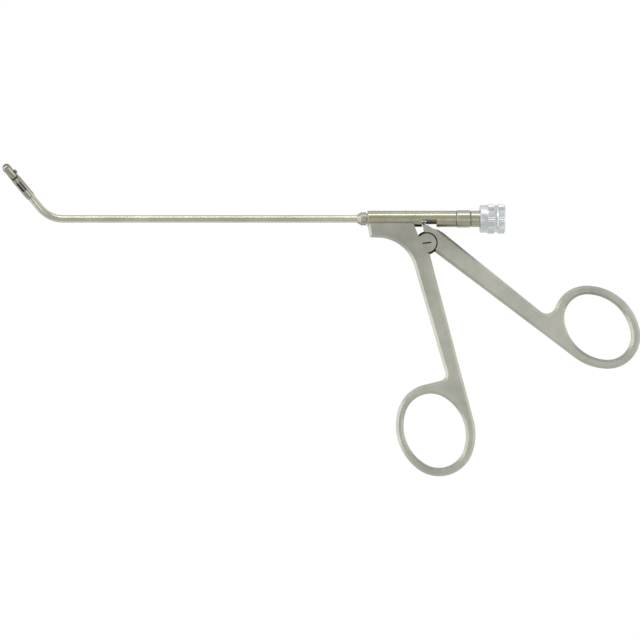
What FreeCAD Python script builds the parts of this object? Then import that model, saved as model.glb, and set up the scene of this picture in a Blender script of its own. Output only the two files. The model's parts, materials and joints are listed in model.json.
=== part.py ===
import FreeCAD, Part
import math
import os

# Sinus forceps with a turning shaft, in millimetres.
# The origin is on the pivot axis, on the underside of the hub. X runs back
# along the shaft towards the knob, Y from the finger rings up to the shaft,
# and Z from the underside to the upper side.
# The handles are spread and the jaw is open, as the instrument lies unused.

# Both handles
handle_thickness = 5.3          # over the flat faces of plate and hub
ring_thickness = 4.0            # the handles thin down towards the rings
taper_start = 14.0              # from the pivot to where the thinning starts
taper_length = 30.0
edge_bevel = 0.9                # bevels along the edges
oval_end = 1.08                 # end radius of a ring's oval, over that of an ellipse
shaft_height = 8.7              # shaft axis above the pivot axis

# Front handle, fixed under the barrel
front_angle = -74.6             # direction of its shank
front_offset = 3.28             # its centre line passes the pivot at this distance
front_width_hub = 6.45
front_width_ring = 4.67
plate_overhang = 0.05           # the plate starts this far in front of the barrel
plate_rake = 0.95               # and its front edge leans back
plate_bottom = 2.0              # lower edge, above the pivot
plate_corner = 1.0
plate_rear = -4.95              # rear edge, at the barrel
plate_rear_low = (-3.24, 2.9)   # foot of the rear edge, at the hub
finger_radius = 14.0            # hollow edge that a finger rests in
front_ring_reach = 65.9         # pivot to the middle of the ring, along the shank
front_ring_side = 15.14         # and beside it
front_hole_half_length = 13.64
front_hole_half_width = 10.9
front_hole_angle = -69.0
front_rim_angle = -72.8
front_band = 3.15
front_rim_shift = (0.33, 0.25)  # the band is thicker on one side
front_web = 16.7                # corner between shank and ring, back from the ring's middle
front_valley = 2.2              # rounding in that corner

# Rear handle, the lever
rear_angle = -38.0
rear_offset = 2.9
rear_width_hub = 7.2
rear_width_ring = 5.19
rear_ring_reach = 67.1
rear_ring_side = 14.04
rear_hole_half_length = 13.43
rear_hole_half_width = 10.2
rear_hole_angle = -42.5
rear_rim_angle = -40.1
rear_band = 3.3
rear_rim_shift = (-0.27, -0.04)
rear_valley = 3.5
shoulder_start = 2.4            # where the straight edges of its shank begin
belly_start = 4.3
arm_front_low = (-0.75, 3.6)    # foot of the arm that reaches into the barrel
arm_front_top = -1.5
arm_back_top = 0.1
arm_step = (2.2, 5.15)
arm_shoulder = (4.2, 4.6)
arm_below_axis = 2.25           # top of the arm, under the shaft axis

# Hub: the rear handle's tongue turns between two cheeks of the front handle
cheek_radius = 3.4
recess_gap = 0.45               # from the cheeks to the rear handle
tongue_radius = 4.2
tongue_gap = 0.25
tongue_thickness = 1.8
tongue_clearance = 0.05
screw_radius = 1.1
screw_head_radius = 1.6
screw_head_height = 1.0
screw_slot_width = 0.5
screw_slot_depth = 0.7
screw_slot_turn = 6.5           # degrees that the slot happens to stand at
running = 0.03                  # radial clearance of what turns

# Barrel
barrel_front = -21.35
barrel_length = 32.05
barrel_radius = 2.95
barrel_bore = 2.05
barrel_lip = 0.95
turned_edge = 0.2               # small chamfers on turned pieces
notch_front = -1.73
notch_length = 5.26
notch_below_axis = 0.38
collar_radius = 3.125
collar_length = 5.0
collar_spigot = 2.6

# Drive pin and piston
ball_radius = 0.7
ball_play = 0.06                # from the ball to the front of the notch
ball_below_axis = 1.54
drive_pin_radius = 0.5
drive_pin_length = 3.2
piston_clearance = 0.1
piston_core = 0.7
piston_groove_play = 0.05       # each side of the ball
piston_front_land = 2.5
piston_to_sleeve = 2.27          # free way behind the piston, handles open
spigot_radius = 0.5
spigot_length = 1.6

# Shaft
tube_radius = 1.35
tube_bore = 0.95
shaft_length = 114.55           # barrel's front to the corner of the bend
bend_angle = 51.5
bend_radius = 10.2
shaft_roll = 13.0               # turned so that the tip rises
rod_radius = 0.75
wire_radius = 0.65
rod_gap = 0.2                   # between the rod, the bend wire and the link
key_size = 1.5                  # square part of the rod
key_clearance = 0.05

# Nose ferrule, with the washer behind the barrel's lip
nose_gap = 0.35
nose_cylinder = 1.9
nose_cone = 1.4
nose_radius = 2.35
nose_tip_radius = 1.45
nose_neck = 1.75
nose_flange = 0.9
nose_boss = 1.9
nose_socket = 1.4               # the tube reaches this far behind the flange
nose_key_length = 4.4
washer_thickness = 0.3
washer_gap = 0.05

# Knob with its sleeve and hub
sleeve_flange = 0.9
sleeve_neck = 1.5
sleeve_bottom = 0.4             # from the pulled key bar to the end of its hole
key_bar_length = 16.9
hub_radius = 2.95
hub_gap = 0.1
knob_stand_off = 3.45           # collar to knob
knob_recess_radius = 3.4
knob_recess = 1.5
knob_flange_radius = 4.95
knob_flange = 2.15
knob_bevel = 0.7
knob_band = 2.15
knob_groove_fall = 0.85
knob_groove_rise = 0.6
knob_groove_radius = 4.75
knob_radius = 5.35
knob_root = 5.1                 # turned surface under the knurls
knob_edge = 0.4
knurl_teeth = 52
knurl_depth = 0.2
counterbore_radius = 2.3
counterbore = 1.95
knob_screw_head_radius = 1.7
knob_screw_head = 1.0
knob_screw_radius = 0.6
knob_screw_length = 2.4
knob_washer_radius = 2.0
knob_washer = 0.4
knob_key_radius = 0.4
knob_key_length = 2.4

# Head, along the far straight from the corner of the bend
head_start = 9.9
head_cone = 1.15
head_cone_radius = 1.42
head_length = 7.7               # behind the gap in front of the moving jaw
head_radius = 1.675
head_socket = 1.2
head_bore = 0.9                 # round bore left between tube and chamber
window_length = 4.07
window_bridge = 1.29            # left between the window and the gap
window_half_width = 0.8
chamber_half_width = 0.83
chamber_half_height = 1.1
rivet_place = 0.45              # behind the cone
rivet_radius = 0.35
rivet_sunk = 0.06

# Jaws, from the jaw pin
pin_ahead = 2.1                 # of the head's end
jaw_length = 4.44
jaw_radius = 1.42
jaw_gap = 0.05
jaw_open = 22.0
cup_start = 1.55
cup_length = 2.1
cup_half_width = 0.8
cup_depth = 0.6
cheek_outer = 1.55
cheek_inner = 1.05
cheek_round = 0.85
cheek_top = 0.78
shoulder_gap = 0.1
heel_floor = 0.9
heel_front = 1.05
tail_slot = (-3.32, -0.1)
tail_slot_half_width = 0.45
pin_radius = 0.4
pin_head_radius = 0.75
pin_head = 0.56
pin_seat = 1.5                  # flats on the cheeks, from the centre
root_half_width = 1.0
root_round = 0.7
root_back = 0.66
heel_low = (-1.75, 1.04)        # rear lower corner of the heel, jaw closed
heel_top = (-1.6, 1.45)
heel_under = (-0.66, 0.53)
root_front = 1.3
tail_half_width = 0.35
tail_round = 0.42

# Tip link
link_radius = 0.75
link_round_end = 8.07           # from the jaw pin back to the flat bar
bar_half_width = 0.25
bar_half_height = 0.6
fork_base = 0.65
fork_reach = 2.07               # from the cam pin back to the crotch
fork_top = 0.55
tine_inner = 0.4
tine_outer = 0.7
tine_round = 0.42
cam_radius = 0.2
cam_rest = 1.15                 # cam pin behind the jaw pin, jaw open
cam_below = 0.25

squeeze = 12.0                  # degrees that the rear handle closes

# Worked out from the sizes above
mid = handle_thickness / 2.0
ball_x = notch_front + ball_radius + ball_play
ball_y = shaft_height - ball_below_axis
ball_arm = math.hypot(ball_x, ball_y)
ball_start = math.degrees(math.atan2(ball_y, ball_x))
barrel_back = barrel_front + barrel_length
collar_back = barrel_back + collar_length
knob_front = collar_back + knob_stand_off
knob_seat = knob_front + knob_recess
lip_back = barrel_front + barrel_lip
flange_front = lip_back + washer_thickness + washer_gap
flange_back = flange_front + nose_flange
nose_key_front = flange_back + nose_socket
nose_end = nose_key_front + nose_key_length
spigot_front = barrel_back - collar_spigot
sleeve_flange_back = spigot_front - washer_thickness - washer_gap
sleeve_front = sleeve_flange_back - sleeve_flange
groove_half = ball_radius + piston_groove_play
piston_front = ball_x - groove_half - piston_front_land
piston_back = sleeve_front - piston_to_sleeve
bend_corner = barrel_front - shaft_length
bend_reach = bend_radius * math.tan(math.radians(bend_angle / 2.0))
bend_start = bend_corner + bend_reach
head_round = head_start + head_cone
head_end = head_round + head_length
tube_end = head_round + head_socket
chamber_start = tube_end + head_bore
pin_at = head_end + pin_ahead
cam_at = pin_at - cam_rest


def turn(point, angle):
    """Point of the XY plane turned about the origin."""
    c = math.cos(math.radians(angle))
    s = math.sin(math.radians(angle))
    return (point[0] * c - point[1] * s, point[0] * s + point[1] * c)


# The rod moves as far as the ball does along the shaft
rod_travel = turn((ball_x, ball_y), -squeeze)[0] - ball_x
knob_back = (
    knob_front + knob_flange + knob_bevel + knob_band
    + knob_groove_fall + knob_groove_rise + knob_band + knob_edge
)
web_back = knob_back - counterbore
key_bar_end = piston_back + key_bar_length


def vec(x, y, z=0.0):
    return FreeCAD.Vector(x, y, z)


def rod_x(radius, start, end):
    """Round bar along the X axis."""
    return Part.makeCylinder(radius, end - start, vec(start, 0), vec(1, 0))


def rod_y(radius, start, end, x, z):
    """Round bar along Y."""
    return Part.makeCylinder(radius, end - start, vec(x, start, z), vec(0, 1))


def rod_z(radius, start, end, x=0.0, y=0.0):
    """Round bar along Z."""
    return Part.makeCylinder(radius, end - start, vec(x, y, start), vec(0, 0, 1))


def block(x, y, z):
    """Box given by its (low, high) pairs."""
    corner = vec(x[0], y[0], z[0])
    return Part.makeBox(x[1] - x[0], y[1] - y[0], z[1] - z[0], corner)


def square_bar(size, start, end):
    """Square bar along the X axis."""
    half = size / 2.0
    return block((start, end), (-half, half), (-half, half))


def turned(profile):
    """Solid of revolution about the X axis from (x, radius) points."""
    points = [vec(profile[0][0], 0)]
    points += [vec(x, r) for x, r in profile]
    points.append(vec(profile[-1][0], 0))
    points.append(points[0])
    face = Part.Face(Part.makePolygon(points))
    return face.revolve(vec(0, 0), vec(1, 0), 360)


def washer(inner, outer, start, thickness):
    ring = rod_x(outer, start, start + thickness)
    return ring.cut(rod_x(inner, start, start + thickness))


def side_shape(points, half_width):
    """Polygon of (x, z) points, extruded both ways along Y."""
    corners = [vec(x, -half_width, z) for x, z in points]
    corners.append(corners[0])
    return Part.Face(Part.makePolygon(corners)).extrude(vec(0, 2.0 * half_width))


# Handles

def beside(angle, side, along, off):
    """Point along a shank and off to the side where its ring stands."""
    ahead = turn((along, 0.0), angle)
    out = turn((off, 0.0), angle + side)
    return (ahead[0] + out[0], ahead[1] + out[1])


def oval_arcs(oval):
    """Four tangent arcs of an oval: centre, radius and the angles where each begins and ends."""
    middle, half_length, half_width, angle = oval
    small = oval_end * half_width ** 2 / half_length
    large = (half_length ** 2 + half_width ** 2 - 2.0 * half_length * small) / (
        2.0 * (half_width - small)
    )
    joint = math.degrees(math.atan2(large - half_width, half_length - small))
    arcs = []
    for place, radius, start, end in (
        ((half_length - small, 0.0), small, -joint, joint),
        ((0.0, half_width - large), large, joint, 180.0 - joint),
        ((small - half_length, 0.0), small, 180.0 - joint, 180.0 + joint),
        ((0.0, large - half_width), large, 180.0 + joint, 360.0 - joint),
    ):
        x, y = turn(place, angle)
        arcs.append(((middle[0] + x, middle[1] + y), radius, start + angle, end + angle))
    return arcs


def on_arc(centre, radius, at):
    x, y = turn((radius, 0.0), at)
    return (centre[0] + x, centre[1] + y)


def within(at, start, end):
    """The angle, moved by whole turns into an arc's range, or None."""
    at = start + (at - start) % 360.0
    return at if at <= end else None


def oval_edges(oval, first, last):
    """Edges of an oval, counter-clockwise from one of its angles to another."""
    last = first + ((last - first) % 360.0 or 360.0)
    edges = []
    for whole in (-360.0, 0.0, 360.0):
        for centre, radius, start, end in oval_arcs(oval):
            start = max(start + whole, first)
            end = min(end + whole, last)
            if end - start > 0.001:
                points = [on_arc(centre, radius, a) for a in (start, (start + end) / 2.0, end)]
                edges.append((start, Part.Arc(*[vec(*q) for q in points]).toShape()))
    return [edge for start, edge in sorted(edges, key=lambda pair: pair[0])]


def oval_disc(oval):
    """Oval as thick as the handles."""
    start = oval_arcs(oval)[0][2]
    face = Part.Face(Part.Wire(oval_edges(oval, start, start)))
    return face.extrude(vec(0, 0, handle_thickness))


def meeting(oval, near, toward):
    """Angle and point where a straight edge first meets the oval."""
    run = math.hypot(toward[0] - near[0], toward[1] - near[1])
    step = ((toward[0] - near[0]) / run, (toward[1] - near[1]) / run)
    found = []
    for centre, radius, start, end in oval_arcs(oval):
        back = (near[0] - centre[0], near[1] - centre[1])
        along = back[0] * step[0] + back[1] * step[1]
        inside = along ** 2 - back[0] ** 2 - back[1] ** 2 + radius ** 2
        if inside > 0.0:
            reach = -along - math.sqrt(inside)
            point = (near[0] + reach * step[0], near[1] + reach * step[1])
            heading = math.atan2(point[1] - centre[1], point[0] - centre[0])
            at = within(math.degrees(heading), start, end)
            if at is not None:
                found.append((reach, at, point))
    return min(found)[1:]


def touching(oval, point, side):
    """Angle and point where a line from a point outside touches the oval."""
    for centre, radius, start, end in oval_arcs(oval):
        out = (point[0] - centre[0], point[1] - centre[1])
        distance = math.hypot(*out)
        if distance > radius:
            half_view = math.degrees(math.acos(radius / distance))
            heading = math.degrees(math.atan2(out[1], out[0]))
            at = within(heading + math.copysign(half_view, side), start, end)
            if at is not None:
                return at, on_arc(centre, radius, at)
    raise ValueError("no line from the point touches the ring")


def lines(points):
    """Straight edges from point to point."""
    pairs = zip(points, points[1:])
    return [Part.LineSegment(vec(*a), vec(*b)).toShape() for a, b in pairs]


def thinned(shape, angle, length):
    """The handle's two faces draw together from the hub towards the ring."""
    far = 2.0 * length
    half_ring = ring_thickness / 2.0
    upper = [(-far, mid), (taper_start, mid)]
    upper += [(taper_start + taper_length, half_ring), (far, half_ring)]
    lower = [(x, -z) for x, z in reversed(upper)]
    envelope = side_shape(upper + lower, far)
    envelope.translate(vec(0, 0, mid))
    envelope.rotate(vec(0, 0), vec(0, 0, 1), angle)
    return shape.common(envelope)


def is_upright(edge):
    if len(edge.Vertexes) < 2:
        return False
    a = edge.Vertexes[0].Point
    b = edge.Vertexes[1].Point
    return math.hypot(a.x - b.x, a.y - b.y) < 0.001 and abs(a.z - b.z) > 1.0


def round_upright(shape, point, radius):
    """Round the upright edge that stands nearest to a point."""

    def distance(edge):
        end = edge.Vertexes[0].Point
        return math.hypot(end.x - point[0], end.y - point[1])

    edge = min((e for e in shape.Edges if is_upright(e)), key=distance)
    return shape.makeFillet(radius, [edge])


def is_wall(face):
    u0, u1, v0, v1 = face.ParameterRange
    return abs(face.normalAt((u0 + u1) / 2.0, (v0 + v1) / 2.0).z) < 0.5


def bevel_rims(shape, keep):
    """Bevel the edges between the walls and the flat sides, the upper side first."""
    for side in (1.0, -1.0):
        chosen = []
        for edge in shape.Edges:
            walls = [is_wall(f) for f in shape.ancestorsOfType(edge, Part.Face)]
            middle = edge.valueAt((edge.FirstParameter + edge.LastParameter) / 2.0)
            on_side = side * (middle.z - mid) > 0.0
            if on_side and any(walls) and not all(walls) and keep(middle):
                chosen.append(edge)
        shape = shape.makeChamfer(edge_bevel, chosen)
    return shape


def rings(angle, side, reach, off, half_length, half_width, hole_angle, rim_angle, band, shift):
    """Ovals of a ring's hole and of its rim."""
    centre = beside(angle, side, reach, off)
    rim_centre = (centre[0] + shift[0], centre[1] + shift[1])
    hole = (centre, half_length, half_width, hole_angle)
    return hole, (rim_centre, half_length + band, half_width + band, rim_angle)


def front_blank():
    """Flat blank of the front handle."""
    hole, rim = rings(
        front_angle, -90, front_ring_reach, front_ring_side, front_hole_half_length,
        front_hole_half_width, front_hole_angle, front_rim_angle, front_band, front_rim_shift,
    )
    top = shaft_height - math.sqrt(barrel_radius ** 2 - mid ** 2)
    plate_front = barrel_front - plate_overhang
    start = beside(front_angle, -90, 0.0, front_offset + front_width_hub / 2.0)
    hub = beside(front_angle, -90, 0.0, front_offset - front_width_hub / 2.0)
    end = beside(front_angle, -90, front_ring_reach, front_offset + front_width_ring / 2.0)
    run = math.atan2(end[1] - start[1], end[0] - start[0])
    out = (math.sin(run), -math.cos(run))
    # The finger's hollow touches the plate's lower edge and the shank's edge
    centre_y = plate_bottom - finger_radius
    centre_x = start[0] + (finger_radius - out[1] * (centre_y - start[1])) / out[0]
    foot = (centre_x - out[0] * finger_radius, centre_y - out[1] * finger_radius)
    half_way = (math.pi / 2.0 + math.atan2(-out[1], -out[0])) / 2.0
    middle = (
        centre_x + finger_radius * math.cos(half_way),
        centre_y + finger_radius * math.sin(half_way),
    )
    # A web fills the corner between shank and ring, up to a line that touches the ring
    share = 1.0 - front_web / front_ring_reach
    valley = (start[0] + (end[0] - start[0]) * share, start[1] + (end[1] - start[1]) * share)
    meet, meet_point = touching(rim, valley, 90)
    touch, touch_point = touching(rim, hub, -90)
    low_corner = (plate_front + plate_rake, plate_bottom)
    edges = lines([(plate_rear, top), (plate_front, top), low_corner, (centre_x, plate_bottom)])
    edges.append(Part.Arc(vec(centre_x, plate_bottom), vec(*middle), vec(*foot)).toShape())
    edges += lines([foot, valley, meet_point])
    edges += oval_edges(rim, meet, touch)
    edges += lines([touch_point, hub, plate_rear_low, (plate_rear, top)])
    blank = Part.Face(Part.Wire(edges)).extrude(vec(0, 0, handle_thickness))
    blank = round_upright(blank, valley, front_valley)
    blank = round_upright(blank, low_corner, plate_corner)
    return blank.cut(oval_disc(hole))


def make_front_handle():
    blank = thinned(front_blank(), front_angle, front_ring_reach)

    def bevelled(middle):
        behind_plate = middle.y > 0.0 and middle.x > plate_rear_low[0] * 2.0
        at_barrel = middle.y > plate_bottom + plate_corner
        return not behind_plate and not at_barrel

    blank = bevel_rims(blank, bevelled)
    blank = blank.fuse(rod_z(cheek_radius, 0.0, handle_thickness))
    half_slot = tongue_thickness / 2.0 + tongue_clearance
    blank = blank.cut(rod_z(tongue_radius + tongue_gap, mid - half_slot, mid + half_slot))
    blank = blank.cut(rod_z(screw_radius, 0.0, handle_thickness))
    head_seat = handle_thickness - screw_head_height
    blank = blank.cut(rod_z(screw_head_radius, head_seat, handle_thickness))
    saddle = rod_x(barrel_radius, barrel_front - 1.0, barrel_back)
    return blank.cut(to_barrel(saddle))


def rear_blank():
    """Flat blank of the rear handle, with the arm that reaches into the barrel."""
    hole, rim = rings(
        rear_angle, 90, rear_ring_reach, rear_ring_side, rear_hole_half_length,
        rear_hole_half_width, rear_hole_angle, rear_rim_angle, rear_band, rear_rim_shift,
    )
    arm_top = shaft_height - arm_below_axis
    upper_hub = rear_offset + rear_width_hub / 2.0
    upper_ring = rear_offset + rear_width_ring / 2.0
    shoulder = beside(rear_angle, 90, shoulder_start, upper_hub)
    end = beside(rear_angle, 90, rear_ring_reach, upper_ring)
    belly = beside(rear_angle, 90, belly_start, rear_offset - rear_width_hub / 2.0)
    meet, valley = meeting(rim, shoulder, end)
    touch, touch_point = touching(rim, belly, 90)
    edges = oval_edges(rim, touch, meet)[::-1]
    edges = lines([
        belly, arm_front_low, (arm_front_top, arm_top), (arm_back_top, arm_top),
        arm_step, arm_shoulder, shoulder, valley,
    ]) + edges + lines([touch_point, belly])
    blank = Part.Face(Part.Wire(edges)).extrude(vec(0, 0, handle_thickness))
    blank = round_upright(blank, valley, rear_valley)
    return blank.cut(oval_disc(hole))


def make_rear_handle():
    blank = thinned(rear_blank(), rear_angle, rear_ring_reach)

    def bevelled(middle):
        return math.hypot(middle.x, middle.y) > 2.0 * tongue_radius

    blank = bevel_rims(blank, bevelled)
    blank = blank.cut(rod_z(cheek_radius + recess_gap, 0.0, handle_thickness))
    half_tongue = tongue_thickness / 2.0
    blank = blank.fuse(rod_z(tongue_radius, mid - half_tongue, mid + half_tongue))
    blank = blank.cut(rod_z(screw_radius + running, 0.0, handle_thickness))
    return blank.cut(drive_pin_bar())


def make_pivot_screw():
    head_seat = handle_thickness - screw_head_height
    screw = rod_z(screw_radius, 0.0, head_seat)
    screw = screw.fuse(rod_z(screw_head_radius, head_seat, handle_thickness))
    slot = block(
        (-screw_head_radius, screw_head_radius),
        (-screw_slot_width / 2.0, screw_slot_width / 2.0),
        (handle_thickness - screw_slot_depth, handle_thickness),
    )
    slot.rotate(vec(0, 0), vec(0, 0, 1), screw_slot_turn)
    return screw.cut(slot)


def drive_pin_bar():
    """Straight part of the drive pin, which points at the pivot."""
    inward = vec(-ball_x / ball_arm, -ball_y / ball_arm)
    start = vec(ball_x, ball_y, mid)
    return Part.makeCylinder(drive_pin_radius, drive_pin_length, start, inward)


def make_drive_pin():
    ball = Part.makeSphere(ball_radius, vec(ball_x, ball_y, mid))
    return drive_pin_bar().fuse(ball)


# Barrel and what sits in it, on an axis through the origin

def to_barrel(shape):
    """Move a piece from the X axis to the shaft's place over the pivot."""
    shape.translate(vec(0, shaft_height, mid))
    return shape


def make_barrel():
    edge = turned_edge
    barrel = turned([
        (barrel_front, barrel_radius - edge), (barrel_front + edge, barrel_radius),
        (barrel_back - edge, barrel_radius), (barrel_back, barrel_radius - edge),
    ])
    barrel = barrel.cut(rod_x(barrel_bore, lip_back, barrel_back))
    barrel = barrel.cut(rod_x(nose_neck + running, barrel_front, lip_back))
    notch = block(
        (notch_front, notch_front + notch_length),
        (-2.0 * barrel_radius, -notch_below_axis),
        (-2.0 * barrel_radius, 2.0 * barrel_radius),
    )
    return to_barrel(barrel.cut(notch))


def make_rear_collar():
    edge = turned_edge
    collar = turned([
        (spigot_front, barrel_bore), (barrel_back, barrel_bore),
        (barrel_back, collar_radius - edge), (barrel_back + edge, collar_radius),
        (collar_back - edge, collar_radius), (collar_back, collar_radius - edge),
    ])
    return to_barrel(collar.cut(rod_x(sleeve_neck + running, spigot_front, collar_back)))


def make_front_washer():
    inner = nose_neck + running
    return to_barrel(washer(inner, barrel_bore - running, lip_back, washer_thickness))


def make_drag_washer():
    start = spigot_front - washer_thickness
    inner = sleeve_neck + running
    return to_barrel(washer(inner, barrel_bore - running, start, washer_thickness))


# Shaft: everything from here on turns with the knob

def to_shaft(shape):
    """Roll a piece with the shaft, then move it over the pivot."""
    shape.rotate(vec(0, 0), vec(1, 0), shaft_roll)
    return to_barrel(shape)


def to_tip(shape):
    """Move a piece from the X axis to the far straight behind the bend."""
    shape.rotate(vec(0, 0), vec(0, 0, 1), 180.0 - bend_angle)
    shape.translate(vec(bend_corner, 0))
    return to_shaft(shape)


def bend_piece(radius):
    """Round bar along the bend."""
    circle = Part.Circle(vec(bend_start, 0), vec(1, 0), radius)
    disc = Part.Face(Part.Wire(circle.toShape()))
    return disc.revolve(vec(bend_start, bend_radius), vec(0, 0, -1), bend_angle)


def bent_bar(radius, near_end, far_end):
    """Round bar from the grip, round the bend and along the far straight."""
    far = rod_x(radius, bend_reach, far_end)
    far.rotate(vec(0, 0), vec(0, 0, 1), 180.0 - bend_angle)
    far.translate(vec(bend_corner, 0))
    return rod_x(radius, bend_start, near_end).fuse([bend_piece(radius), far])


def make_shaft_tube():
    outer = bent_bar(tube_radius, nose_key_front, tube_end)
    tube = outer.cut(bent_bar(tube_bore, nose_key_front, tube_end)).removeSplitter()
    hole = rod_z(rivet_radius, 0.0, head_radius, head_round + rivet_place)
    hole.rotate(vec(0, 0), vec(0, 0, 1), 180.0 - bend_angle)
    hole.translate(vec(bend_corner, 0))
    return to_shaft(tube.cut(hole))


def make_nose_ferrule():
    back = barrel_front - nose_gap
    front = back - nose_cylinder
    ferrule = turned([
        (front - nose_cone, nose_tip_radius), (front, nose_radius), (back, nose_radius),
        (back, nose_neck), (flange_front, nose_neck),
        (flange_front, barrel_bore - piston_clearance),
        (flange_back, barrel_bore - piston_clearance),
        (flange_back, nose_boss), (nose_end, nose_boss),
    ])
    ferrule = ferrule.cut(rod_x(tube_radius, front - nose_cone, nose_key_front))
    hole = key_size + 2.0 * key_clearance
    return to_shaft(ferrule.cut(square_bar(hole, nose_key_front, nose_end)))


def make_knob_sleeve():
    flange_radius = barrel_bore - piston_clearance
    end = web_back - turned_edge
    sleeve = rod_x(flange_radius, sleeve_front, sleeve_flange_back)
    sleeve = sleeve.fuse(rod_x(sleeve_neck, sleeve_flange_back, end))
    hole_end = key_bar_end + rod_travel + sleeve_bottom
    hole = key_size + 2.0 * key_clearance
    sleeve = sleeve.cut(square_bar(hole, sleeve_front, hole_end))
    sleeve = sleeve.cut(rod_x(knob_screw_radius, knob_screw_end(), end))
    return to_shaft(sleeve.cut(knob_key_bar()))


def knob_screw_end():
    return web_back + knob_washer - knob_screw_length


def knob_key_bar():
    start = vec(knob_seat, 0, sleeve_neck)
    return Part.makeCylinder(knob_key_radius, knob_key_length, start, vec(1, 0))


def make_knob_hub():
    edge = turned_edge
    front = collar_back + hub_gap
    hub = turned([
        (front, hub_radius - edge), (front + edge, hub_radius), (knob_seat, hub_radius),
    ])
    return to_shaft(hub.cut(rod_x(sleeve_neck, front, knob_seat)))


def knurl_star(start, end):
    """Prism with a tooth at every pitch of the knurl."""
    points = []
    pitch = 360.0 / knurl_teeth
    for i in range(knurl_teeth):
        for radius, share in ((knob_radius, 0.0), (knob_radius - knurl_depth, 0.5)):
            y, z = turn((radius, 0.0), (i + share) * pitch)
            points.append(vec(start, y, z))
    points.append(points[0])
    return Part.Face(Part.makePolygon(points)).extrude(vec(end - start, 0))


def make_knob():
    edge = turned_edge
    bevel = knob_front + knob_flange
    band = bevel + knob_bevel
    fall = band + knob_band
    groove = fall + knob_groove_fall
    rise = groove + knob_groove_rise
    body = turned([
        (knob_front, knob_flange_radius - edge), (knob_front + edge, knob_flange_radius),
        (bevel, knob_flange_radius), (band, knob_root), (fall, knob_root),
        (groove, knob_groove_radius), (rise, knob_root), (rise + knob_band, knob_root),
        (knob_back, knob_root - knob_edge),
    ])
    knob = body.fuse([knurl_star(band, fall), knurl_star(rise, rise + knob_band)])
    knob = knob.cut(rod_x(knob_recess_radius, knob_front, knob_seat))
    knob = knob.cut(rod_x(sleeve_neck, knob_seat, web_back))
    knob = knob.cut(rod_x(counterbore_radius, web_back, knob_back))
    return to_shaft(knob.cut(knob_key_bar()))


def make_knob_washer():
    return to_shaft(washer(knob_screw_radius, knob_washer_radius, web_back, knob_washer))


def make_knob_screw():
    seat = web_back + knob_washer
    top = seat + knob_screw_head
    edge = turned_edge
    screw = rod_x(knob_screw_radius, knob_screw_end(), seat)
    screw = screw.fuse(turned([
        (seat, knob_screw_head_radius), (top - edge, knob_screw_head_radius),
        (top, knob_screw_head_radius - edge),
    ]))
    slot = block(
        (top - screw_slot_depth, top), (-knob_screw_head_radius, knob_screw_head_radius),
        (-screw_slot_width / 2.0, screw_slot_width / 2.0),
    )
    return to_shaft(screw.cut(slot))


def make_knob_key():
    return to_shaft(knob_key_bar())


# What slides in the shaft

def make_piston():
    radius = barrel_bore - piston_clearance
    front = ball_x - groove_half
    back = ball_x + groove_half
    edge = turned_edge
    piston = turned([
        (piston_front, radius - edge), (piston_front + edge, radius), (front, radius),
        (front, piston_core), (back, piston_core), (back, radius),
        (piston_back - edge, radius), (piston_back, radius - edge),
    ])
    piston = piston.cut(rod_x(spigot_radius, piston_front, piston_front + spigot_length))
    piston = piston.cut(rod_x(spigot_radius, piston_back - spigot_length, piston_back))
    return to_shaft(piston)


def make_pull_rod():
    square_start = nose_key_front + 2.0 * rod_gap
    rod = rod_x(rod_radius, bend_start + rod_gap, square_start)
    rod = rod.fuse(square_bar(key_size, square_start, piston_front))
    end = piston_front + spigot_length
    return to_shaft(rod.fuse(rod_x(spigot_radius, piston_front, end)))


def make_key_bar():
    bar = square_bar(key_size, piston_back, key_bar_end)
    start = piston_back - spigot_length
    return to_shaft(bar.fuse(rod_x(spigot_radius, start, piston_back)))


def make_bend_wire():
    return to_shaft(bend_piece(wire_radius))


def make_tip_link():
    base_back = cam_at - fork_reach - fork_base
    crotch = cam_at - fork_reach
    bar_start = pin_at - link_round_end
    low = -cam_below - tine_round
    high = -cam_below + tine_round
    link = rod_x(link_radius, bend_reach + rod_gap, bar_start)
    bar_y = (-bar_half_width, bar_half_width)
    link = link.fuse(block((bar_start, base_back), bar_y, (-bar_half_height, bar_half_height)))
    base = block((base_back, crotch), (-tine_outer, tine_outer), (low, fork_top))
    tines = block((crotch, cam_at), (-tine_outer, tine_outer), (low, high))
    tines = tines.fuse(rod_y(tine_round, -tine_outer, tine_outer, cam_at, -cam_below))
    room = block((crotch, cam_at + 1.0), (-tine_inner, tine_inner), (low - 1.0, high + 1.0))
    link = link.fuse([base, tines.cut(room)])
    return to_tip(link.cut(rod_y(cam_radius, -tine_outer, tine_outer, cam_at, -cam_below)))


def make_cam_pin():
    return to_tip(rod_y(cam_radius, -tine_outer, tine_outer, cam_at, -cam_below))


# Head and jaws, along the X axis until they are moved to the tip

def jaw_bullet(start):
    """Round bar with a round nose, from a place ahead of the jaw pin."""
    nose_at = jaw_length - jaw_radius
    bar = rod_x(jaw_radius, start, nose_at)
    return bar.fuse(Part.makeSphere(jaw_radius, vec(nose_at, 0)))


def cup(height):
    """Oval hollow of a jaw, cut to a depth on both sides of a height."""
    z = (height - cup_depth, height + cup_depth)
    start = cup_start + cup_half_width
    end = cup_start + cup_length
    hollow = block((start, end - cup_half_width), (-cup_half_width, cup_half_width), z)
    first = rod_z(cup_half_width, z[0], z[1], start)
    last = rod_z(cup_half_width, z[0], z[1], end - cup_half_width)
    return hollow.fuse([first, last])


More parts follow.
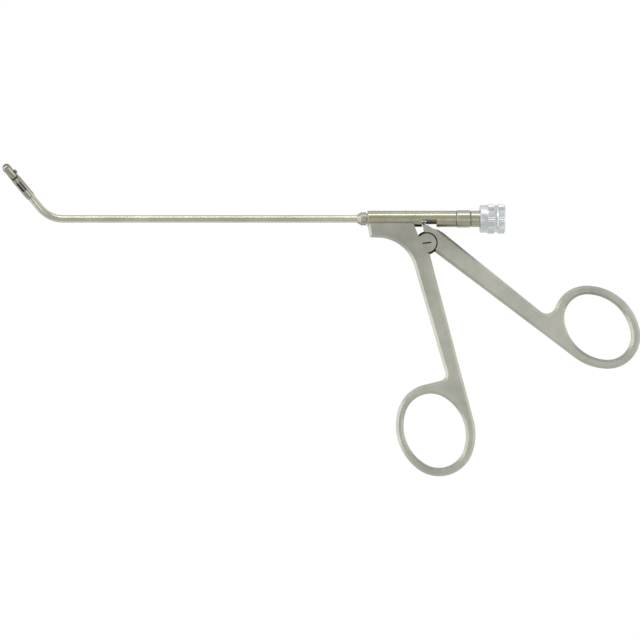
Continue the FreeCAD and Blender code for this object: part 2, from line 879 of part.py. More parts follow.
def make_jaw_head():
    head = turned([
        (head_start, head_cone_radius), (head_round, head_radius),
        (head_end, head_radius), (head_end, cheek_outer), (pin_at, cheek_outer),
    ])
    cheeks = rod_x(cheek_outer, pin_at, pin_at + cheek_round)
    bullet = jaw_bullet(0.0)
    bullet.translate(vec(pin_at, 0))
    head = head.fuse([cheeks, bullet])
    wide = 2.0 * head_radius
    tip = pin_at + jaw_length
    upper = block((head_end, tip), (-wide, wide), (0.0, wide))
    kept = block((head_end, pin_at), (-wide, wide), (0.0, cheek_top))
    kept = kept.fuse(rod_y(cheek_round, -wide, wide, pin_at, 0.0))
    head = head.cut(upper.cut(kept))
    heel_room = block(
        (head_end, pin_at + heel_front), (-cheek_inner, cheek_inner), (-heel_floor, wide)
    )
    chamber = block(
        (chamber_start, head_end), (-chamber_half_width, chamber_half_width),
        (-chamber_half_height, chamber_half_height),
    )
    tail_room = block(
        (pin_at + tail_slot[0], pin_at + tail_slot[1]),
        (-tail_slot_half_width, tail_slot_half_width), (-wide, 0.0),
    )
    window_end = head_end - window_bridge
    window = block(
        (window_end - window_length, window_end),
        (-window_half_width, window_half_width), (0.0, wide),
    )
    socket = rod_x(tube_radius, head_start, tube_end)
    bore = rod_x(tube_bore, tube_end, chamber_start)
    hollow = cup(0.0)
    hollow.translate(vec(pin_at, 0))
    rivet = rod_z(rivet_radius, 0.0, wide, head_round + rivet_place)
    head = head.cut([heel_room, chamber, tail_room, window, socket, bore, hollow, rivet])
    head = head.cut(rod_y(pin_radius, -wide, wide, pin_at, 0.0))
    for side in (-1.0, 1.0):
        near = min(side * pin_seat, side * wide)
        far = max(side * pin_seat, side * wide)
        head = head.cut(rod_y(pin_head_radius + shoulder_gap, near, far, pin_at, 0.0))
    return to_tip(head)


def make_head_rivet():
    top = head_radius - rivet_sunk
    return to_tip(rod_z(rivet_radius, tube_bore, top, head_round + rivet_place))


def make_jaw_pin():
    pin = rod_y(pin_radius, -pin_seat, pin_seat, pin_at, 0.0)
    head = rod_y(pin_head_radius, -pin_seat - pin_head, -pin_seat, pin_at, 0.0)
    return to_tip(pin.fuse(head))


def cam_place(share):
    """Cam pin seen from the moving jaw, after a share of its travel."""
    from_pin = (-cam_rest - share * rod_travel, -cam_below)
    return turn(from_pin, -jaw_open * (1.0 - share))


def tapered_link(first, first_radius, last, last_radius, half_width):
    """Two rounds and the flat flanks that touch both."""
    dx = last[0] - first[0]
    dz = last[1] - first[1]
    span = math.hypot(dx, dz)
    heading = math.degrees(math.atan2(dz, dx))
    lean = math.degrees(math.acos((first_radius - last_radius) / span))
    corners = []
    for centre, radius, side in (
        (first, first_radius, 1), (last, last_radius, 1),
        (last, last_radius, -1), (first, first_radius, -1),
    ):
        out = turn((radius, 0.0), heading + side * lean)
        corners.append((centre[0] + out[0], centre[1] + out[1]))
    ends = [
        rod_y(radius, -half_width, half_width, centre[0], centre[1])
        for centre, radius in ((first, first_radius), (last, last_radius))
    ]
    return side_shape(corners, half_width).fuse(ends)


def cam_slot():
    """Slot along the cam pin's path in the tail of the moving jaw."""
    radius = cam_radius + running
    steps = 4
    places = [cam_place(i / steps) for i in range(steps + 1)]
    slot = None
    for a, b in zip(places, places[1:]):
        stretch = tapered_link(a, radius, b, radius, root_half_width)
        slot = stretch if slot is None else slot.fuse(stretch)
    return slot


def make_moving_jaw():
    blade_top = block((0.0, jaw_length), (-2, 2), (jaw_gap, 2))
    blade = jaw_bullet(root_round).common(blade_top)
    blade = blade.cut(rod_y(cheek_round + shoulder_gap, -2, 2, 0.0, 0.0))
    root = side_shape(
        [
            (root_front, jaw_gap), (root_front, heel_top[1]), heel_top, heel_low,
            heel_under, (-root_back, -root_round / 2.0), (0.0, -root_round / 2.0),
            (root_round, jaw_gap),
        ],
        root_half_width,
    )
    root = root.fuse(rod_y(root_round, -root_half_width, root_half_width, 0.0, 0.0))
    root = root.common(rod_x(jaw_radius, heel_low[0], root_front))
    far = cam_place(1.0)
    tail = tapered_link((0.0, 0.0), root_round, far, tail_round, tail_half_width)
    near = tapered_link((0.0, 0.0), root_round, cam_place(0.0), tail_round, tail_half_width)
    bridge = tapered_link(cam_place(0.0), tail_round, far, tail_round, tail_half_width)
    jaw = blade.fuse([root, tail, near, bridge])
    jaw = jaw.cut([cam_slot(), rod_y(pin_radius + running, -2, 2, 0.0, 0.0), cup(jaw_gap)])
    jaw.rotate(vec(0, 0), vec(0, 1), -jaw_open)
    jaw.translate(vec(pin_at, 0))
    return to_tip(jaw)


PIECES = {
    "front_handle": make_front_handle,
    "pivot_screw": make_pivot_screw,
    "barrel": make_barrel,
    "rear_collar": make_rear_collar,
    "front_washer": make_front_washer,
    "drag_washer": make_drag_washer,
    "rear_handle": make_rear_handle,
    "drive_pin": make_drive_pin,
    "nose_ferrule": make_nose_ferrule,
    "shaft_tube": make_shaft_tube,
    "jaw_head": make_jaw_head,
    "head_rivet": make_head_rivet,
    "jaw_pin": make_jaw_pin,
    "knob_sleeve": make_knob_sleeve,
    "knob_hub": make_knob_hub,
    "knob": make_knob,
    "knob_washer": make_knob_washer,
    "knob_screw": make_knob_screw,
    "knob_key": make_knob_key,
    "piston": make_piston,
    "pull_rod": make_pull_rod,
    "key_bar": make_key_bar,
    "bend_wire": make_bend_wire,
    "tip_link": make_tip_link,
    "cam_pin": make_cam_pin,
    "moving_jaw": make_moving_jaw,
}


def main():
    os.makedirs("parts", exist_ok=True)
    for name, make in PIECES.items():
        shape = make().removeSplitter()
        print(name, shape.ShapeType, len(shape.Solids), shape.isValid(), round(shape.Volume, 2))
        shape.exportStep("parts/%s.step" % name)


if __name__ == "__main__":
    main()
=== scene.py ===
# %% [markdown]
# The instrument is a long thin forceps for work inside the nose. A finger and a
# thumb go through its rings, and squeezing them pulls a rod through the thin shaft,
# which closes a tiny cup-shaped jaw at the bent tip. Its pieces come ready shaped
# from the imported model, with the joints that move them. This script gives them their
# looks: it lights and frames the whole, gives each steel its surface, and rounds the
# edges that show.

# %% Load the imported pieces
import json
import math

import bpy
import bmesh
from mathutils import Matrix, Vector


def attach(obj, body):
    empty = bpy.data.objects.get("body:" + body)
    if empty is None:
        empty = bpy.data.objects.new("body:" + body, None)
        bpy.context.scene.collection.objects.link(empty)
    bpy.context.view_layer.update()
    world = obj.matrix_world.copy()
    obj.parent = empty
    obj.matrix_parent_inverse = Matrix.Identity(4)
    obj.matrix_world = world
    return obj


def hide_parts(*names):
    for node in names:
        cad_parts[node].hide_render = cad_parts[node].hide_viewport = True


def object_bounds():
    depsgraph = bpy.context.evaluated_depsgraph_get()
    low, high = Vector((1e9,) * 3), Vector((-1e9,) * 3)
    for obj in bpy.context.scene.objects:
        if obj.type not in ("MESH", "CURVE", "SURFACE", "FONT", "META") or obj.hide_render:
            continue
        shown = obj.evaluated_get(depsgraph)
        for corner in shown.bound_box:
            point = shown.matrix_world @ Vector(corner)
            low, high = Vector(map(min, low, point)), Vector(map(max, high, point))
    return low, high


MM = 0.001
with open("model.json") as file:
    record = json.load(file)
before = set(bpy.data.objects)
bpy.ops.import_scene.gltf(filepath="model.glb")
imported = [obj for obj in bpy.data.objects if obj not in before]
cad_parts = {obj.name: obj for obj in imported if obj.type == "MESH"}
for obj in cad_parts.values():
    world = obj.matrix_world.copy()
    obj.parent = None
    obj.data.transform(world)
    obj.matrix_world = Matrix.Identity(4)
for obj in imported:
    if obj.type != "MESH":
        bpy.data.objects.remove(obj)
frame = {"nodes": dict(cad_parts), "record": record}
cad_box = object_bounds()
nodes = frame["nodes"]
print("pieces:", len(nodes), "box in mm:", [round(c / MM, 1) for p in cad_box for c in p])

# %% [markdown]
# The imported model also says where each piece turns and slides. The looks need a few
# of these places: the axes of the shaft and of the handles' pivot, the pin of the
# jaw, and the way in which the bent tip points. The link inside it slides away from
# the tip, so that is the link's direction, reversed.

# %% Places on the instrument
joints = {joint["name"]: joint for joint in frame["record"]["behaviour"]["joints"]}
ALONG_SHAFT = joints["shaft_turn"]["axis"]
SHAFT_Y, MID_Z = joints["shaft_turn"]["pos_m"][1:]
ALONG_PIVOT = joints["handle_hinge"]["axis"]
JAW_PIN = Vector(joints["jaw_hinge"]["pos_m"])
TIP_DIRECTION = -Vector(joints["link_slide"]["axis"])
print("shaft axis at y, z in mm:", SHAFT_Y / MM, MID_Z / MM)

# %% [markdown]
# The photograph looks straight down on the instrument as it lies on a white sheet.
# A long lens far away keeps the shaft straight and the knob round, so the camera
# stands almost a metre above and its field of view is narrow. A Blender camera
# looks down its own -Z with +Y up, so it needs no turning at all.

# %% Camera
PHOTO_PIXELS = 640
PIXEL_SIZE = 0.36 * MM                  # one pixel of the photograph, on the instrument
VIEW_CENTRE = (-38.4 * MM, -27.7 * MM)
VIEW_HEIGHT = 0.955                     # in metres
SENSOR = 36.0                           # width of the camera's sensor in millimetres

bpy.context.scene.view_settings.view_transform = "Standard"
camera_data = bpy.data.cameras.new("photo_camera")
camera_data.sensor_width = SENSOR
camera_data.lens = SENSOR * (VIEW_HEIGHT - MID_Z) / (PHOTO_PIXELS * PIXEL_SIZE)
camera_data.clip_start = 0.05
camera = bpy.data.objects.new("photo_camera", camera_data)
camera.location = (VIEW_CENTRE[0], VIEW_CENTRE[1], VIEW_HEIGHT)
bpy.context.scene.collection.objects.link(camera)
bpy.context.scene.camera = camera
print("lens in mm:", round(camera_data.lens, 1))

# %% [markdown]
# The sheet under the instrument is one plain square.

# %% Sheet under the instrument
SHEET_Z = cad_box[0][2]
SHEET_SIZE = 6.0                        # in metres

bpy.ops.object.select_all(action="DESELECT")
bpy.ops.mesh.primitive_plane_add(
    size=SHEET_SIZE, location=(VIEW_CENTRE[0], VIEW_CENTRE[1], SHEET_Z)
)
sheet = bpy.context.object
sheet.name = "white_sheet"
print("sheet at", round(SHEET_Z / MM, 2), "mm")

# %% [markdown]
# A material is a tree of nodes. In the shader editor each node is added, set and
# wired by hand. Here one helper does all three: it adds a node, sets its options, and
# then either writes a value into each input or links a socket to it. Two short forms
# follow for what is needed most, a step of arithmetic and a change of range.

# %% Helpers for node trees
def add(tree, kind, given, **options):
    """New shader node with its options; given has a value or a socket for each input."""
    node = tree.nodes.new("ShaderNode" + kind)
    for option, value in options.items():
        setattr(node, option, value)
    for label, value in given.items():
        if isinstance(value, bpy.types.NodeSocket):
            tree.links.new(value, node.inputs[label])
        else:
            node.inputs[label].default_value = value
    return node


def combine(tree, operation, *values):
    """Result of a Math node on numbers or sockets."""
    return add(tree, "Math", dict(enumerate(values)), operation=operation).outputs[0]


def change_range(tree, value, old, new):
    """Value moved from the old range to the new one, and held at its ends."""
    given = {
        "Value": value,
        "From Min": old[0],
        "From Max": old[1],
        "To Min": new[0],
        "To Max": new[1],
    }
    return add(tree, "MapRange", given).outputs["Result"]


print("helpers:", [helper.__name__ for helper in (add, combine, change_range)])

# %% [markdown]
# In a studio the white sheet is lit by itself. To copy that without a lamp of its
# own, the paper glows, but only for rays from the camera, from the metal that mirrors
# it, and through glass, if any lay on it. All other rays meet ordinary matt paper, so
# that the glow doesn't light the instrument from below. A small share of what the
# camera sees is that matt paper too, and it takes a faint shadow.

# %% White paper
SHEET_GLOW = 0.95       # part of the sheet's look that is its own even white
SHEET_WHITE = 1.03      # a little over white, so that a faint shadow stays white
PAPER = (0.8, 0.8, 0.8, 1.0)

paper = bpy.data.materials.new("white_paper")
paper.use_nodes = True
tree = paper.node_tree
matt = tree.nodes["Principled BSDF"]
matt.inputs["Base Color"].default_value = PAPER
matt.inputs["Roughness"].default_value = 0.8
matt.inputs["Specular IOR Level"].default_value = 0.1
glow = add(tree, "Emission", {"Strength": SHEET_WHITE})
rays = add(tree, "LightPath", {})
seen = combine(tree, "MAXIMUM", rays.outputs["Is Camera Ray"], rays.outputs["Is Glossy Ray"])
seen_or_through = combine(tree, "MAXIMUM", seen, rays.outputs["Is Transmission Ray"])
share = combine(tree, "MULTIPLY", seen_or_through, SHEET_GLOW)
mix = add(tree, "MixShader", {"Fac": share, 1: matt.outputs[0], 2: glow.outputs[0]})
tree.links.new(mix.outputs[0], tree.nodes["Material Output"].inputs["Surface"])
sheet.data.materials.append(paper)
print("paper nodes:", len(tree.nodes))

# %% [markdown]
# Metal looks like what it mirrors, so the surroundings matter more than the paint.
# The flat sides of the handles face straight up and mirror the sky of the studio.
# It is a plain world colour, a little dimmer overhead than low down, which keeps the
# flats darker than the bevels round them.

# %% Sky of the studio
HORIZON, ZENITH = 0.7, 0.55             # brightness low down and overhead
OVERHEAD_FROM = 0.8                     # height on the unit sphere where it stops to dim
SKY_TINT = (1.0, 0.99, 0.97, 1.0)

world = bpy.data.worlds.new("studio")
bpy.context.scene.world = world
world.use_nodes = True
tree = world.node_tree
direction = add(tree, "TexCoord", {}).outputs["Generated"]
height = add(tree, "SeparateXYZ", {0: direction}).outputs["Z"]
brightness = change_range(tree, height, (0.0, OVERHEAD_FROM), (HORIZON, ZENITH))
sky = tree.nodes["Background"]
sky.inputs["Color"].default_value = SKY_TINT
tree.links.new(brightness, sky.inputs["Strength"])
print("sky from", HORIZON, "to", ZENITH)

# %% [markdown]
# Four soft lamps give the highlights. The straight round pieces carry one bright
# band above their middle, from a broad, low lamp that stands behind the instrument.
# The bent tip has its band along the middle. That one comes from a lamp high on the
# near right side, which the straight pieces mirror past the camera. Bevels mirror
# what stands low round the table: a lamp on the left and a weaker one on the right
# light those that face them.

# %% Lamps
LAMPS = {
    # Place and size in metres, power in watts
    "back_lamp": ((-0.5, 0.9, 0.62), (2.0, 0.32), 5.8),
    "left_lamp": ((-1.1, -0.1, 0.3), (1.4, 0.5), 2.8),
    "right_lamp": ((1.1, 0.1, 0.3), (1.0, 0.5), 1.7),
    "tip_lamp": ((1.0, -0.7, 3.0), (1.0, 1.0), 8.2),
}


def soft_lamp(name, place, size, power):
    """Rectangular lamp that is turned to the middle of the picture."""
    data = bpy.data.lights.new(name, "AREA")
    data.shape = "RECTANGLE"
    data.size, data.size_y = size
    data.energy = power
    lamp = bpy.data.objects.new(name, data)
    lamp.location = place
    aim = Vector((VIEW_CENTRE[0], VIEW_CENTRE[1], 0.0)) - Vector(place)
    lamp.rotation_euler = aim.to_track_quat("-Z", "Y").to_euler()
    bpy.context.scene.collection.objects.link(lamp)


for name, (place, size, power) in LAMPS.items():
    soft_lamp(name, place, size, power)
print("lamps:", list(LAMPS))

# %% [markdown]
# All the steels share a few effects, and each effect is a node group: built once,
# with named inputs, and then placed in every material with that material's own
# values. A group needs sockets before anything can be wired to its ends.

# %% Helper for effects
def new_effect(name, inputs, outputs):
    """Node group that puts out numbers, with the sockets at its two ends."""
    group = bpy.data.node_groups.new(name, "ShaderNodeTree")
    for label, value in inputs.items():
        kind = "NodeSocketVector" if isinstance(value, tuple) else "NodeSocketFloat"
        socket = group.interface.new_socket(label, in_out="INPUT", socket_type=kind)
        socket.default_value = value
    for label in outputs:
        group.interface.new_socket(label, in_out="OUTPUT", socket_type="NodeSocketFloat")
    start = group.nodes.new("NodeGroupInput")
    end = group.nodes.new("NodeGroupOutput")
    return group, start.outputs, end.inputs


print("effects so far:", len(bpy.data.node_groups))

# %% [markdown]
# The first effect is the fine marks that a belt, a lathe or a polishing wheel leaves.
# Noise stands in for them. Where it is squeezed along one direction it runs in lines
# across it, so a density for each axis makes turned, brushed or even marks. A second,
# even noise is the grain of the steel itself.

# %% Tool marks
tool_marks, given, result = new_effect(
    "tool_marks", {"Density": (1.0, 1.0, 1.0), "Grain": 1.0}, ["Marks", "Grain"]
)
place = add(tool_marks, "TexCoord", {}).outputs["Object"]
squeezed = add(tool_marks, "VectorMath", {0: place, 1: given["Density"]}, operation="MULTIPLY")
marks = add(tool_marks, "TexNoise", {"Vector": squeezed.outputs[0], "Scale": 1.0, "Detail": 3.0})
grain = add(tool_marks, "TexNoise", {"Vector": place, "Scale": given["Grain"], "Detail": 2.0})
tool_marks.links.new(marks.outputs["Fac"], result["Marks"])
tool_marks.links.new(grain.outputs["Fac"], result["Grain"])
print("tool marks:", len(tool_marks.nodes), "nodes")

# %% [markdown]
# The second effect is handling: broad, faint patches where hands and cloths have
# left the surface a little duller and paler, or glossier and darker. The group only
# puts out the patches, and each material uses them for its colour and its roughness.

# %% Handling
handling, given, result = new_effect("handling", {"Size": 60.0}, ["Patches"])
place = add(handling, "TexCoord", {}).outputs["Object"]
patches = add(
    handling,
    "TexNoise",
    {"Vector": place, "Scale": given["Size"], "Detail": 4.0, "Roughness": 0.6},
)
handling.links.new(patches.outputs["Fac"], result["Patches"])
print("handling:", len(handling.nodes), "nodes")

# %% [markdown]
# The third effect is painted shade and grime: a near-black colour in the hollows where
# shade falls and no cloth reaches: in the hinge, in the barrel behind its notch, in the
# chamber of the head. All of them are round, so one mask serves them. It is at its full
# strength within a cylinder, given by its middle, its direction, its radius and half its
# length, and 0 outside. Seen through a gap, the walls inside then read black with this
# painted shade, as they do on the instrument.

# %% Painted shade and grime in hollows
hollow_shade_and_grime, given, result = new_effect(
    "hollow_shade_and_grime",
    {
        "Middle": (0.0, 0.0, 0.0),
        "Direction": (1.0, 0.0, 0.0),
        "Radius": 1.0 * MM,
        "Half Length": 1.0 * MM,
        "Strength": 1.0,
    },
    ["Mask"],
)


def on_vectors(operation, *values):
    """Vector Math node of the hollow's mask."""
    return add(hollow_shade_and_grime, "VectorMath", dict(enumerate(values)), operation=operation)


place = add(hollow_shade_and_grime, "TexCoord", {}).outputs["Object"]
offset = on_vectors("SUBTRACT", place, given["Middle"]).outputs[0]
along = on_vectors("DOT_PRODUCT", offset, given["Direction"]).outputs["Value"]
across = on_vectors("CROSS_PRODUCT", offset, given["Direction"]).outputs[0]
off_axis = on_vectors("LENGTH", across).outputs["Value"]
reach = combine(hollow_shade_and_grime, "ABSOLUTE", along)
near_axis = combine(hollow_shade_and_grime, "LESS_THAN", off_axis, given["Radius"])
in_reach = combine(hollow_shade_and_grime, "LESS_THAN", reach, given["Half Length"])
inside = combine(hollow_shade_and_grime, "MULTIPLY", near_axis, in_reach)
mask = combine(hollow_shade_and_grime, "MULTIPLY", inside, given["Strength"])
hollow_shade_and_grime.links.new(mask, result["Mask"])
print("effects:", [group.name for group in bpy.data.node_groups])

# %% [markdown]
# Bare steel has no paint, so its colour hardly varies. It is a touch lighter and
# darker along the tool marks, and more so in the broad patches. A real room is also
# darker low down than the sky of this studio, so a round piece gets painted shade: a
# darker colour where it turns away from the eye, a painted reflection of that room.
# Layer Weight tells how far that is, so the painted shade follows the eye. It follows
# the eye, so the exported model takes one even value for it. It stays in the material
# and out of the groups, because the export can't read it there.

# %% Colour of the steel
MARK_NOISE = (0.25, 0.75)       # where most of the noise of the marks lies
PATCH_NOISE = (0.3, 0.7)        # and that of the patches
TURNED_AWAY = (0.3, 0.8)        # from where a side starts to darken to where it is darkest
PATCH_SPREAD = 0.18             # how much lighter and darker the patches are
# Near-black colour painted as shade and grime inside the hollows
GRIME_AND_SHADE = (0.04, 0.034, 0.024, 1.0)


def steel_colour(tree, colour, spread, marks, patches, painted_side_shade):
    """Colour that follows the marks and the patches, with painted shade towards the sides."""
    lined = add(
        tree,
        "Mix",
        {
            "Factor": change_range(tree, marks, MARK_NOISE, (0.0, 1.0)),
            "A": [c * (1.0 - spread) for c in colour] + [1.0],
            "B": [c * (1.0 + spread) for c in colour] + [1.0],
        },
        data_type="RGBA",
    )
    broad = change_range(tree, patches, PATCH_NOISE, (1.0 - PATCH_SPREAD, 1.0 + PATCH_SPREAD))
    # Painted shade: the colour darkens where the surface turns away from the eye, as the reflection
    # of a darker room.
    away = add(tree, "LayerWeight", {"Blend": 0.5}).outputs["Facing"]
    sides = change_range(tree, away, TURNED_AWAY, (1.0, 1.0 - painted_side_shade))
    shade = combine(tree, "MULTIPLY", broad, sides)
    shaded = {0: lined.outputs["Result"], "Scale": shade}
    return add(tree, "VectorMath", shaded, operation="SCALE").outputs["Vector"]


def with_shade_and_grime(tree, shown, hollows):
    """Colour that turns to painted shade and grime inside each of the hollows."""
    for hollow in hollows:
        # Painted shade and grime: the colour turns near-black inside this hollow
        mask = add(tree, "Group", hollow, node_tree=hollow_shade_and_grime).outputs["Mask"]
        shaded_and_dirty = add(tree, "Mix", {"Factor": mask, "A": shown, "B": GRIME_AND_SHADE}, data_type="RGBA")
        shown = shaded_and_dirty.outputs["Result"]
    return shown


print("patches vary the colour by", PATCH_SPREAD)

# %% [markdown]
# Marks and grain also catch the light as relief. They are about a thousandth of a
# millimetre deep, far too fine to model, so two Bump nodes only tilt the normals. The
# second takes the first one's normal as its start, which adds the two up.

# %% Relief of the steel
MICRON = 0.001 * MM


def fine_relief(tree, marks, marks_depth, grain, grain_depth):
    """Normal of a surface with tool marks and grain of these depths."""
    lines = add(tree, "Bump", {"Strength": 1.0, "Distance": marks_depth, "Height": marks})
    pits = add(
        tree,
        "Bump",
        {
            "Strength": 1.0,
            "Distance": grain_depth,
            "Height": grain,
            "Normal": lines.outputs["Normal"],
        },
    )
    return pits.outputs["Normal"]


print("one micron in metres:", MICRON)

# %% [markdown]
# Every finish is this one material with its own values: full metal, the colour and
# relief from above, and a roughness that the patches move up and down. What makes a
# ground handle differ from a lathe-turned collar is how dense its marks are along
# each axis: lines round the shaft are dense along it.

# %% One steel for many finishes
ROUND_THE_SHAFT = (9000.0, 250.0, 250.0)    # marks in a metre, along each axis
EVEN = (5000.0, 5000.0, 5000.0)
DULLER = 0.15                               # how far the patches move the roughness


def steel(
    name, colour, dull, marks, grain, marks_depth, grain_depth,
    spread=0.08, painted_side_shade=0.0, hollows=(),
):
    """Bare metal; dull is its mean roughness, and depths are in microns."""
    material = bpy.data.materials.new(name)
    material.use_nodes = True
    tree = material.node_tree
    tool = add(tree, "Group", {"Density": marks, "Grain": grain}, node_tree=tool_marks).outputs
    patches = add(tree, "Group", {}, node_tree=handling).outputs["Patches"]
    bare = steel_colour(tree, colour, spread, tool["Marks"], patches, painted_side_shade)
    shown = with_shade_and_grime(tree, bare, hollows)
    rough = change_range(tree, patches, PATCH_NOISE, (dull * (1.0 - DULLER), dull * (1.0 + DULLER)))
    normal = fine_relief(
        tree, tool["Marks"], marks_depth * MICRON, tool["Grain"], grain_depth * MICRON
    )
    skin = tree.nodes["Principled BSDF"]
    skin.inputs["Metallic"].default_value = 1.0
    tree.links.new(shown, skin.inputs["Base Color"])
    tree.links.new(rough, skin.inputs["Roughness"])
    tree.links.new(normal, skin.inputs["Normal"])
    return material


finish_of_slot = {}
finish_of_piece = {}
print("marks round the shaft in a metre:", ROUND_THE_SHAFT[0])

# %% [markdown]
# The handles are ground on a fine belt and then matted with glass beads, so they are
# an even satin grey without a direction. Painted shade and grime sit between them,
# round the hub of the hinge, and along the seam where the front handle is brazed to
# the barrel. The mask for the front handle ends inside its hub's rim, and the one for
# the rear handle takes in the round seat that the hub turns in. The pivot screw is
# ground flush with the front handle, and so it shares its finish.

# %% Satin handles
satin = {
    "colour": (0.49, 0.495, 0.43),
    "dull": 0.34,
    "marks": EVEN,
    "grain": 3500.0,
    "marks_depth": 1.5,
    "grain_depth": 2.0,
    "spread": 0.05,
}
# Masks for the painted shade and grime round the hinge and along the brazed seam
hub = {"Middle": (0.0, 0.0, MID_Z), "Direction": ALONG_PIVOT, "Half Length": 2.5 * MM}
inner_hub = {**hub, "Radius": 3.47 * MM}
hub_seat = {**hub, "Radius": 4.3 * MM}
brazed_seam = {
    "Middle": (-10.0 * MM, SHAFT_Y, MID_Z),
    "Direction": ALONG_SHAFT,
    "Radius": 3.1 * MM,
    "Half Length": 13.0 * MM,
    "Strength": 0.6,
}
finish_of_slot["handle_steel"] = steel("satin_handle", hollows=[inner_hub, brazed_seam], **satin)
finish_of_piece["rear_handle"] = steel("satin_lever", hollows=[hub_seat], **satin)
finish_of_piece["pivot_screw"] = finish_of_slot["handle_steel"]
print("handles:", satin["colour"])

# %% [markdown]
# Barrel, tube, ferrule and collar are round, have marks that run round them, and a
# warm tint. The long tube is the brightest of them: the same steel painted lighter,
# which stands in for more light on it from overhead. The ferrule in front of the
# barrel is the dullest, and the collar has the deepest marks. The barrel has painted
# shade and grime inside, which shows through its notch.

# %% Warm turned steel
# Mask for the painted shade and grime inside the barrel
bore = {
    "Middle": (-5.3 * MM, SHAFT_Y, MID_Z),
    "Direction": ALONG_SHAFT,
    "Radius": 2.75 * MM,
    "Half Length": 15.8 * MM,
}
turned = {"marks": ROUND_THE_SHAFT, "grain": 3500.0, "marks_depth": 1.5, "grain_depth": 1.5}
coarser = {**turned, "marks_depth": 2.0, "grain_depth": 1.0}
finish_of_slot["shaft_steel"] = steel(
    "warm_shaft", colour=(0.49, 0.475, 0.36), dull=0.24, painted_side_shade=0.65, hollows=[bore], **turned
)
finish_of_piece["nose_ferrule"] = steel(
    "turned_ferrule", colour=(0.45, 0.435, 0.365), dull=0.42, painted_side_shade=0.65, **turned
)
# Painted light: the tube is the shaft's steel with a lighter colour, for more light on it
finish_of_piece["shaft_tube"] = steel(
    "shaft_painted_brighter", colour=(0.63, 0.625, 0.52), dull=0.26, painted_side_shade=0.6, **turned
)
finish_of_slot["collar_steel"] = steel(
    "turned_collar", colour=(0.53, 0.52, 0.41), dull=0.24, painted_side_shade=0.65, **coarser
)
print("barrel dark inside a radius of", round(bore["Radius"] / MM, 2), "mm")

# %% [markdown]
# Head, jaw and link at the tip are small enough to be polished by hand, without
# lines. The chamber of the head, seen through its window, has painted shade and grime
# round the lighter link. It lies behind the pin of the jaw, in line with the tip. The
# rivet is ground flush with the head, and the jaw's pin is darker than both.

# %% Polished tip
# Place of the painted shade and grime in the head's chamber
CHAMBER_BEHIND_PIN = 4.95 * MM
chamber = {
    "Middle": JAW_PIN - CHAMBER_BEHIND_PIN * TIP_DIRECTION,
    "Direction": TIP_DIRECTION,
    "Radius": 1.35 * MM,
    "Half Length": 2.75 * MM,
}
polished = {"marks": EVEN, "grain": 5000.0, "marks_depth": 1.0, "grain_depth": 1.0}
finish_of_slot["head_steel"] = steel(
    "polished_head", colour=(0.47, 0.455, 0.38), dull=0.24, painted_side_shade=0.65, hollows=[chamber],
    **polished,
)
finish_of_slot["link_steel"] = steel(
    "polished_link", colour=(0.55, 0.54, 0.49), dull=0.2, **polished
)
finish_of_piece["jaw_pin"] = steel(
    "dark_pin", colour=(0.3, 0.29, 0.25), dull=0.3, **{**polished, "grain": 4000.0}
)
finish_of_piece["head_rivet"] = finish_of_slot["head_steel"]
print("chamber at, in mm:", [round(c / MM, 1) for c in chamber["Middle"]])

# %% [markdown]
# The knob is plated and much brighter and cooler than the rest, with only a little
# painted shade towards its sides. Its knurl is real shape, so its surface needs only
# faint marks. Screws are plain satin, the sleeve and the washers inside are as they
# come off the lathe, and the piston is painted dark as the shade inside the barrel.

# %% Knob, screws and inner pieces
finish_of_slot["knob_steel"] = steel(
    "bright_knob", colour=(0.74, 0.77, 0.79), dull=0.4, spread=0.04, painted_side_shade=0.3,
    marks=ROUND_THE_SHAFT, grain=4000.0, marks_depth=1.0, grain_depth=0.5,
)
finish_of_slot["screw_steel"] = steel(
    "screw_steel", colour=(0.6, 0.6, 0.56), dull=0.25,
    marks=EVEN, grain=4000.0, marks_depth=1.5, grain_depth=1.5,
)
finish_of_slot["inner_steel"] = steel(
    "turned_inner", colour=(0.45, 0.44, 0.4), dull=0.35,
    marks=ROUND_THE_SHAFT, grain=4000.0, marks_depth=3.0, grain_depth=1.0,
)
# Painted shade: the piston is coloured dark for the shade inside the barrel
finish_of_piece["piston"] = steel(
    "piston_painted_dark", colour=(0.2, 0.19, 0.17), dull=0.25,
    marks=ROUND_THE_SHAFT, grain=4000.0, marks_depth=1.0, grain_depth=1.0,
)
print("finishes:", len(set(finish_of_slot.values()) | set(finish_of_piece.values())))

# %% [markdown]
# The record names a material slot for each piece. A piece takes the finish of its
# slot, unless it has one of its own from above.

# %% Put the finishes on
slot_of = {s["node"]: s["material_slot"] for s in frame["record"]["subparts"]}
for name, piece in nodes.items():
    piece.data.materials.clear()
    piece.data.materials.append(finish_of_piece.get(name, finish_of_slot[slot_of[name]]))
print("finished:", len(nodes), "pieces in", len(finish_of_slot), "slots")

# %% [markdown]
# No edge on a finished instrument is knife sharp: after milling, each one goes over
# a polishing wheel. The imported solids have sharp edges, so the pieces whose edges
# show most are replaced by copies with rounded ones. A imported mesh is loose
# triangles, so a copy's points are merged first, and flat regions are joined to
# single faces. Only then do its edges follow the real ones.

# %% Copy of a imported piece
MERGED_WITHIN = 0.001 * MM
FLAT_WITHIN = math.radians(0.3)
EDGE_FROM = math.radians(28.0)      # an edge that turns less belongs to a curved face


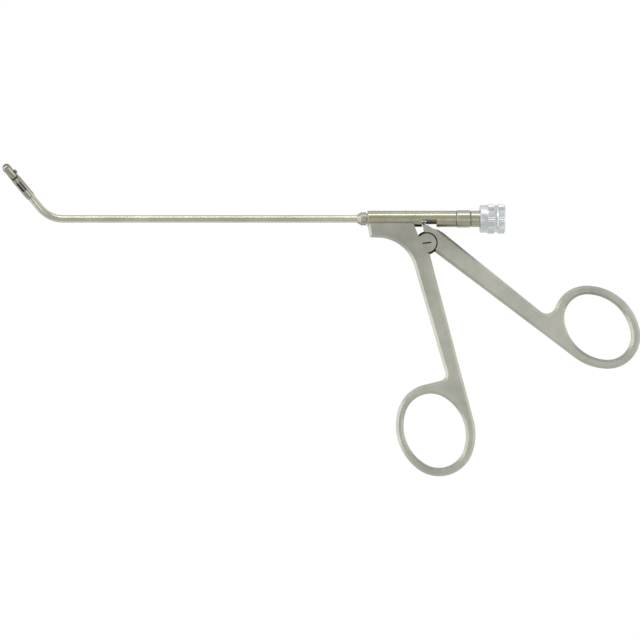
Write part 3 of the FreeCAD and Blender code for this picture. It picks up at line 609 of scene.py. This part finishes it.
def clean_copy(name):
    """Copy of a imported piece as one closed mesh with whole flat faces."""
    bpy.ops.object.select_all(action="DESELECT")
    piece = nodes[name].copy()
    piece.data = nodes[name].data.copy()
    piece.name = name + "_polished"
    piece.data.name = piece.name
    bpy.context.scene.collection.objects.link(piece)
    piece.select_set(True)
    bpy.context.view_layer.objects.active = piece
    bpy.ops.object.mode_set(mode="EDIT")
    bpy.ops.mesh.select_all(action="SELECT")
    bpy.ops.mesh.customdata_custom_splitnormals_clear()
    bpy.ops.mesh.remove_doubles(threshold=MERGED_WITHIN)
    bpy.ops.mesh.dissolve_limited(angle_limit=FLAT_WITHIN)
    bpy.ops.object.mode_set(mode="OBJECT")
    bpy.ops.object.shade_smooth_by_angle(angle=EDGE_FROM)
    return piece


print("edges that turn more than", round(math.degrees(EDGE_FROM)), "degrees are rounded")

# %% [markdown]
# A Bevel modifier rounds the edges that carry a weight, so each edge that turns far
# enough gets one. The pivot screw was ground together with the handle, so the edges
# round it are spared. Hardened normals keep the flat faces flat between the rounded
# edges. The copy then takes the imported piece's place, body and material slot.

# %% Round the edges of a copy
BEVEL_STEPS = 3
SPARED_ROUND_PIVOT = 1.75 * MM
body_of = {
    node: body
    for body, members in frame["record"]["behaviour"]["bodies"].items()
    for node in members
}


def weigh_edges(piece):
    """Bevel weight on each edge that turns, save those near the axis of the pivot."""
    mesh = bmesh.new()
    mesh.from_mesh(piece.data)
    weight = mesh.edges.layers.float.new("bevel_weight_edge")
    for edge in mesh.edges:
        middle = (edge.verts[0].co + edge.verts[1].co) / 2.0
        turns = edge.is_manifold and edge.calc_face_angle() > EDGE_FROM
        edge[weight] = float(turns and middle.xy.length > SPARED_ROUND_PIVOT)
    mesh.to_mesh(piece.data)
    mesh.free()


def polished_copy(name, width):
    """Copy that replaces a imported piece, with its edges rounded by a width."""
    piece = clean_copy(name)
    weigh_edges(piece)
    bevel = piece.modifiers.new("polish", "BEVEL")
    bevel.width = width
    bevel.segments = BEVEL_STEPS
    bevel.limit_method = "WEIGHT"
    bevel.harden_normals = True
    bpy.ops.object.modifier_apply(modifier=bevel.name)
    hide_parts(name)
    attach(piece, body_of[name])
    return piece


print("bodies:", sorted(set(body_of.values())))

# %% [markdown]
# The handles are forged and then ground, and their bevelled edges blend softly into
# the flat sides. They get the widest rounding. Barrel, collar, ferrule and knob come
# off a lathe. They, and the head and the pin at the tip, keep crisp edges that are
# only just broken.

# %% Polished pieces
ROUNDING = {
    "front_handle": 0.3 * MM,
    "rear_handle": 0.3 * MM,
    "barrel": 0.08 * MM,
    "rear_collar": 0.08 * MM,
    "knob_hub": 0.06 * MM,
    "nose_ferrule": 0.03 * MM,
    "knob": 0.04 * MM,
    "jaw_head": 0.05 * MM,
    "jaw_pin": 0.08 * MM,
}
for name, width in ROUNDING.items():
    piece = polished_copy(name, width)
    print(name, "faces:", len(piece.data.polygons))
